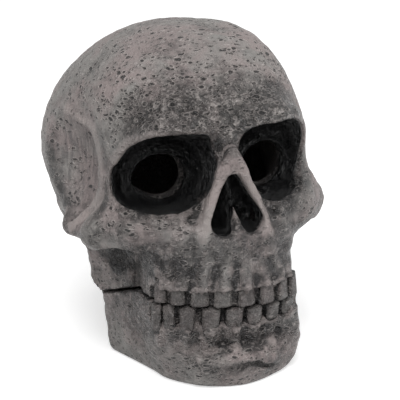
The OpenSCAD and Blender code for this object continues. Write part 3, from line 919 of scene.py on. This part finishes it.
# %% Group: pits
tree, s, i, o = group(
    "Nicked clay", [("Place", "v", None), ("Nicks per metre", "f", 480.0), ("Amount", "f", 0.4)],
    [("Nick", "f"), ("Rim", "f")])
wobble = s.node("ShaderNodeTexNoise")
s.fill(wobble, {"Vector": i["Place"], "Scale": 330, "Detail": 3})
shift = s.wire(s.node("ShaderNodeVectorMath", operation="MULTIPLY_ADD"),
               wobble.outputs["Color"], (0.0022, 0.0022, 0.0022), i["Place"])
cells = s.node("ShaderNodeTexVoronoi", feature="F1", distance="EUCLIDEAN")
s.feed(cells.inputs["Vector"], s.stretch(shift.outputs[0], (0.6, 0.75, 1.5), (0.35, 0.45, 0.2)))
s.feed(cells.inputs["Scale"], i["Nicks per metre"])
split = s.wire(s.node("ShaderNodeSeparateColor"), cells.outputs["Color"])
chosen = s.range(s.math("SUBTRACT", i["Amount"], split.outputs[0]), -0.02, 0.06)
radius = s.times(split.outputs[1], 0.22, 0.16)
away = s.math("SUBTRACT", cells.outputs["Distance"], radius)
s.feed(o["Nick"], s.times(s.range(away, 0.05, -0.09), chosen))
ring = s.times(s.range(away, 0.28, 0.10), s.range(away, 0.0, 0.10))
s.feed(o["Rim"], s.times(ring, chosen))
NICKS = tree
print("group made:", tree.name)

# %% Group: brush streaks
tree, s, i, o = group(
    "Brush streaks", [("Place", "v", None), ("Fineness", "f", 900.0)], [("Streak", "f")])
fine = s.noise(s.stretch(i["Place"], (1.0, 1.0, 0.12), (0.25, 0.1, 0.0)), i["Fineness"], 3, 0.6)
s.feed(o["Streak"], s.range(fine, 0.36, 0.66))
STREAKS = tree
print("group made:", tree.name)

# %% Group: fine grain
tree, s, i, o = group(
    "Moulded grain", [("Place", "v", None), ("Fineness", "f", 2500.0)],
    [("Grain", "f"), ("Cloud", "f")])
s.feed(o["Grain"], s.noise(i["Place"], i["Fineness"], 2, 0.6))
s.feed(o["Cloud"], s.noise(i["Place"], s.times(i["Fineness"], 0.06), 3, 0.6))
GRAIN = tree
print("group made:", tree.name)

# %% [markdown]
# ## The painted resin
# The order of the layers is the painter's order. First the casting's own mottled
# grey, then dark wash in nicks, hollows and streaks, with painted shade low on the face
# and in the hollows, then pale painted highlights on relief crests and nick rims, then
# the pale dry brush on edges, and last the gloss black. Roughness follows: bare resin is
# dull, the wash has a low sheen, and the black is wet-looking with brush marks that
# catch the light.

# %% Resin material
def resin(name, tooth=False):
    made = bpy.data.materials.new(name)
    s = blank(made)
    place = s.node("ShaderNodeTexCoord").outputs["Object"]
    hollow = s.attribute("wash_and_shade" if tooth else "hollow")
    pitting = 0.16 if tooth else s.attribute("pitting")
    grime_and_shade = 0.62 if tooth else s.attribute("grime_and_shade")
    cool, warm = srgb(125, 122, 119), srgb(133, 122, 120)
    tint = s.call(MOTTLE, Place=place, Patch=52.0, Cool=cool, Warm=warm)["Tint"]
    grain = s.call(GRAIN, Place=place, Fineness=1700.0)
    patchy = s.range(s.noise(place, 170, 3, 0.6), 0.35, 0.65, 0.55, 1.35)
    amount = s.times(pitting, patchy)
    nicks = s.call(NICKS, Place=place, Nicks_per_metre=510.0, Amount=amount)
    turned = s.stretch(place, (1, 1, 1), (0.9, 0.3, 1.1))
    small = s.call(NICKS, Place=turned, Nicks_per_metre=800.0, Amount=s.times(amount, 0.8))
    nick = s.math("MAXIMUM", nicks["Nick"], s.times(small["Nick"], 0.85))
    streak = s.call(STREAKS, Place=place, Fineness=900.0)["Streak"]
    ragged = s.times(s.noise(place, 520, 4, 0.7), 0.6, -0.3)
    cloud = s.times(s.noise(place, 95, 5, 0.7), 1.3, -0.65)
    # Thin wash and painted shade in patches over everything, more of it where the mask says so
    wash_and_shade = s.math("ADD", s.math("ADD", grime_and_shade, cloud), s.times(ragged, 0.9))
    film_and_shade = s.range(wash_and_shade, 0.15, 0.75)
    ruck = s.noise(place, 430, 4, 0.62, 0.8)
    colour = s.blend(s.times(film_and_shade, 0.76), tint, srgb(52, 49, 48))
    # On the ruck relief under the film, valleys get painted shade with the wash and crests get pale
    # painted highlights
    worked = s.times(s.times(film_and_shade, 0.5, 0.08), 0.3 if tooth else 1.0)
    valley = s.times(s.range(ruck, 0.48, 0.38), worked)
    crest = s.times(s.range(ruck, 0.55, 0.64), worked)
    colour = s.blend(valley, colour, srgb(17, 16, 16))
    colour = s.blend(crest, colour, srgb(180, 173, 169))
    colour = s.blend(s.times(nick, 0.94), colour, srgb(19, 18, 18))
    # Darker in hollows: the wash there and painted shade
    dark = s.range(s.math("ADD", hollow, ragged), 0.12, 0.62)
    colour = s.blend(s.times(dark, 0.9), colour, srgb(27, 26, 26))
    # Pale painted highlights on the rims of the nicks
    rims = s.math("MAXIMUM", nicks["Rim"], small["Rim"])
    colour = s.blend(s.times(rims, 0.36), colour, srgb(186, 178, 174))
    if not tooth:
        edge, paint, inner = s.attribute("edge"), s.attribute("gloss_paint"), s.attribute("inner")
        marks = s.times(s.times(s.attribute("streaks"), streak), 0.75)
        colour = s.blend(marks, colour, srgb(74, 71, 72))
        worn = s.times(s.attribute("rubbed"), 0.28, edge)
        brush = s.range(s.math("ADD", worn, s.times(ragged, 0.7)), 0.10, 0.42)
        colour = s.blend(s.times(brush, 0.5), colour, srgb(158, 148, 145))
        colour = s.blend(s.times(inner, 0.8), colour, srgb(112, 106, 103))
        black = s.range(s.math("ADD", paint, ragged), 0.22, 0.5)
        colour = s.blend(black, colour, srgb(9, 9, 10))
        bristles = s.noise(s.stretch(place, (1, 1, 0.4), (0.3, 0.2, 0)), 620, 3, 0.6)
        strokes = s.times(black, bristles)
    relief = [(nicks["Nick"], -1.0), (small["Nick"], -0.6), (grain["Grain"], 0.5),
              (ruck, s.times(film_and_shade, 4.5, 0.8)), (ragged, 0.9), (streak, 0.25)]
    if not tooth:
        relief.append((strokes, 8.0))
    height = s.times(rims, 0.5)
    for layer, share in relief:
        height = s.times(layer, share, height)
    bump = s.bumps(height, 0.9, 0.0007)
    rough = s.times(film_and_shade, -0.26, s.times(grain["Grain"], 0.2, 0.36))
    if not tooth:
        rough = s.math("MAXIMUM", s.math("SUBTRACT", rough, s.times(black, 0.28)), 0.11)
    s.surface({"Base Color": colour, "Roughness": rough, "Normal": bump, "Specular IOR Level": 0.4})
    return made


SKULL_RESIN = resin("painted_resin")
TOOTH_RESIN = resin("tooth_resin", tooth=True)
for piece in (head, jaw):
    piece.data.materials.clear()
    piece.data.materials.append(SKULL_RESIN)
print("resin has", len(SKULL_RESIN.node_tree.nodes), "nodes")

# %% Set both rows of teeth
TOOTH_T = 5.5
upper_places, lower_places = [], []
for x, w in UPPER_TEETH:
    tall = UPPER_TOOTH_H + 1.0
    root = (x, row_y(x) + 0.7 + TOOTH_T / 2, bite(x) + 0.1 + tall)
    upper_places.append((root, (w, TOOTH_T, tall), (0.0, 0.0, row_turn(x))))
for x, w in LOWER_TEETH:
    tall = bite(x) - 0.2 - LOWER_GUM_Z
    root = (x, row_y(x) + 1.4 + TOOTH_T / 2, LOWER_GUM_Z)
    lower_places.append((root, (w, TOOTH_T, tall), (0.0, np.pi, row_turn(x))))
upper_teeth = teeth_row("upper_teeth", upper_places, TOOTH_RESIN, 3)
lower_teeth = teeth_row("lower_teeth", lower_places, TOOTH_RESIN, 8)
bpy.data.objects.remove(tooth)

# %% [markdown]
# ## Plastic, steel, silicone and rubber inside
# The hinge, the nozzle and the bell are black moulded plastic with a fine spark
# texture. The pin is ground steel, the pads and hose are milky silicone, and the
# grommet is soft black rubber. They keep their CAD shapes and only get a finish.

# %% Plain finishes
def plain(name, base, second, rough, metal=0.0, fineness=2500.0, bump_by=0.0002, see_through=0.0):
    made = bpy.data.materials.new(name)
    s = blank(made)
    place = s.node("ShaderNodeTexCoord").outputs["Object"]
    grain = s.call(GRAIN, Place=place, Fineness=fineness)
    s.surface({"Base Color": s.blend(s.range(grain["Cloud"], 0.35, 0.65), base, second),
               "Roughness": s.times(grain["Grain"], 0.2, rough - 0.1),
               "Normal": s.bumps(grain["Grain"], 0.4, bump_by),
               "Metallic": metal, "Transmission Weight": see_through})
    return made


FINISHES = {
    "moulded_black": plain("moulded_black", srgb(38, 38, 40), srgb(52, 51, 52), 0.45),
    "air_black": plain("air_black", srgb(30, 31, 34), srgb(44, 45, 48), 0.38, fineness=1800.0),
    "ground_steel": plain("ground_steel", srgb(196, 198, 202), srgb(170, 172, 178), 0.28, metal=1.0,
                          fineness=4000.0, bump_by=0.00005),
    "milky_silicone": plain("milky_silicone", srgb(214, 218, 217), srgb(196, 203, 204), 0.42,
                            see_through=0.25),
    "soft_rubber": plain("soft_rubber", srgb(28, 28, 28), srgb(44, 43, 42), 0.62, fineness=1500.0),
}
WHICH = {
    "moulded_black": ["hinge_bracket_left", "hinge_bracket_right", "hinge_leaf", "pin_cap_left",
                      "pin_cap_right"],
    "air_black": ["air_inlet", "air_nozzle", "nozzle_nut", "air_bell"],
    "ground_steel": ["hinge_pin"],
    "milky_silicone": ["rest_pad_left", "rest_pad_right", "air_hose"],
    "soft_rubber": ["inlet_grommet"],
}
for finish, names in WHICH.items():
    for name in names:
        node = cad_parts[name]
        if not node.material_slots:
            node.data.materials.append(None)
        for material_slot in node.material_slots:
            material_slot.material = FINISHES[finish]
print("finished", sum(len(v) for v in WHICH.values()), "inner pieces")

# %% [markdown]
# ## Fixing the pieces to the frame
# The skull and its teeth ride on the moving head, the jaw and its teeth on the foot.
# Each sculpted casting stands for its CAD node, which is then not shown.

# %% Ride on the bodies
for piece, body, node in ((head, "head", "cranium"), (upper_teeth, "head", "cranium"),
                          (jaw, "jaw", "lower_jaw"), (lower_teeth, "jaw", "lower_jaw")):
    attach(piece, body)
    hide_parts(node)
print("castings ride on head and jaw")

# %% [markdown]
# ## A plain studio
# A pale floor, one broad lamp above and in front, a weak one from the side, a very
# small one whose reflection glints in the wet-looking paint, and the sky's even fill.
# The camera sees pure white where its rays miss the object, but the rays that light
# the object get only the weak fill, so its greys render as they are written.

# %% Floor
floor_mesh = bpy.data.meshes.new("floor")
floor_mesh.from_pydata([(-3, -3, 0), (3, -3, 0), (3, 3, 0), (-3, 3, 0)], [], [(0, 1, 2, 3)])
floor = placed("floor", floor_mesh)
floor_paint = bpy.data.materials.new("floor_paper")
s = blank(floor_paint)
paper = s.wire(s.node("ShaderNodeBsdfDiffuse"), (0.75, 0.75, 0.75, 1)).outputs[0]
glow = s.node("ShaderNodeEmission")
glow.inputs["Strength"].default_value = 0.5
both = s.wire(s.node("ShaderNodeAddShader"), paper, glow.outputs[0])
choice = s.wire(s.node("ShaderNodeMixShader"), s.seen(), paper, both.outputs[0])
s.wire(s.node("ShaderNodeOutputMaterial"), choice.outputs[0])
floor_mesh.materials.append(floor_paint)
print("floor laid")

# %% Sky and lamps
world = bpy.data.worlds.new("studio")
bpy.context.scene.world = world
s = blank(world)
sky = s.node("ShaderNodeBackground")
above = s.wire(s.node("ShaderNodeSeparateXYZ"),
               s.node("ShaderNodeTexCoord").outputs["Generated"])
fill = s.range(above.outputs["Z"], -0.3, 0.9, 0.16, 0.5)
s.feed(sky.inputs["Strength"], s.math("MAXIMUM", s.seen(), fill))
s.wire(s.node("ShaderNodeOutputWorld"), sky.outputs[0])


def lamp(name, at, aim, size, power):
    light = bpy.data.lights.new(name, "AREA")
    light.size = size
    light.energy = power
    made = placed(name, light)
    made.location = at
    direction = np.array(aim) - np.array(at)
    flat = np.hypot(direction[0], direction[1])
    made.rotation_euler = (np.pi / 2 - np.arctan2(-direction[2], flat), 0,
                           np.arctan2(direction[1], direction[0]) - np.pi / 2)


lamp("key", (-0.30, -0.55, 1.15), (0, 0, 0.06), 0.6, 12.5)
lamp("side", (0.95, -0.35, 0.65), (0, 0, 0.06), 0.5, 4.0)
lamp("spark", (-0.55, -0.85, 0.80), (0, 0, 0.06), 0.12, 1.6)
bpy.context.scene.view_settings.view_transform = "Standard"
print("lamps and sky set")
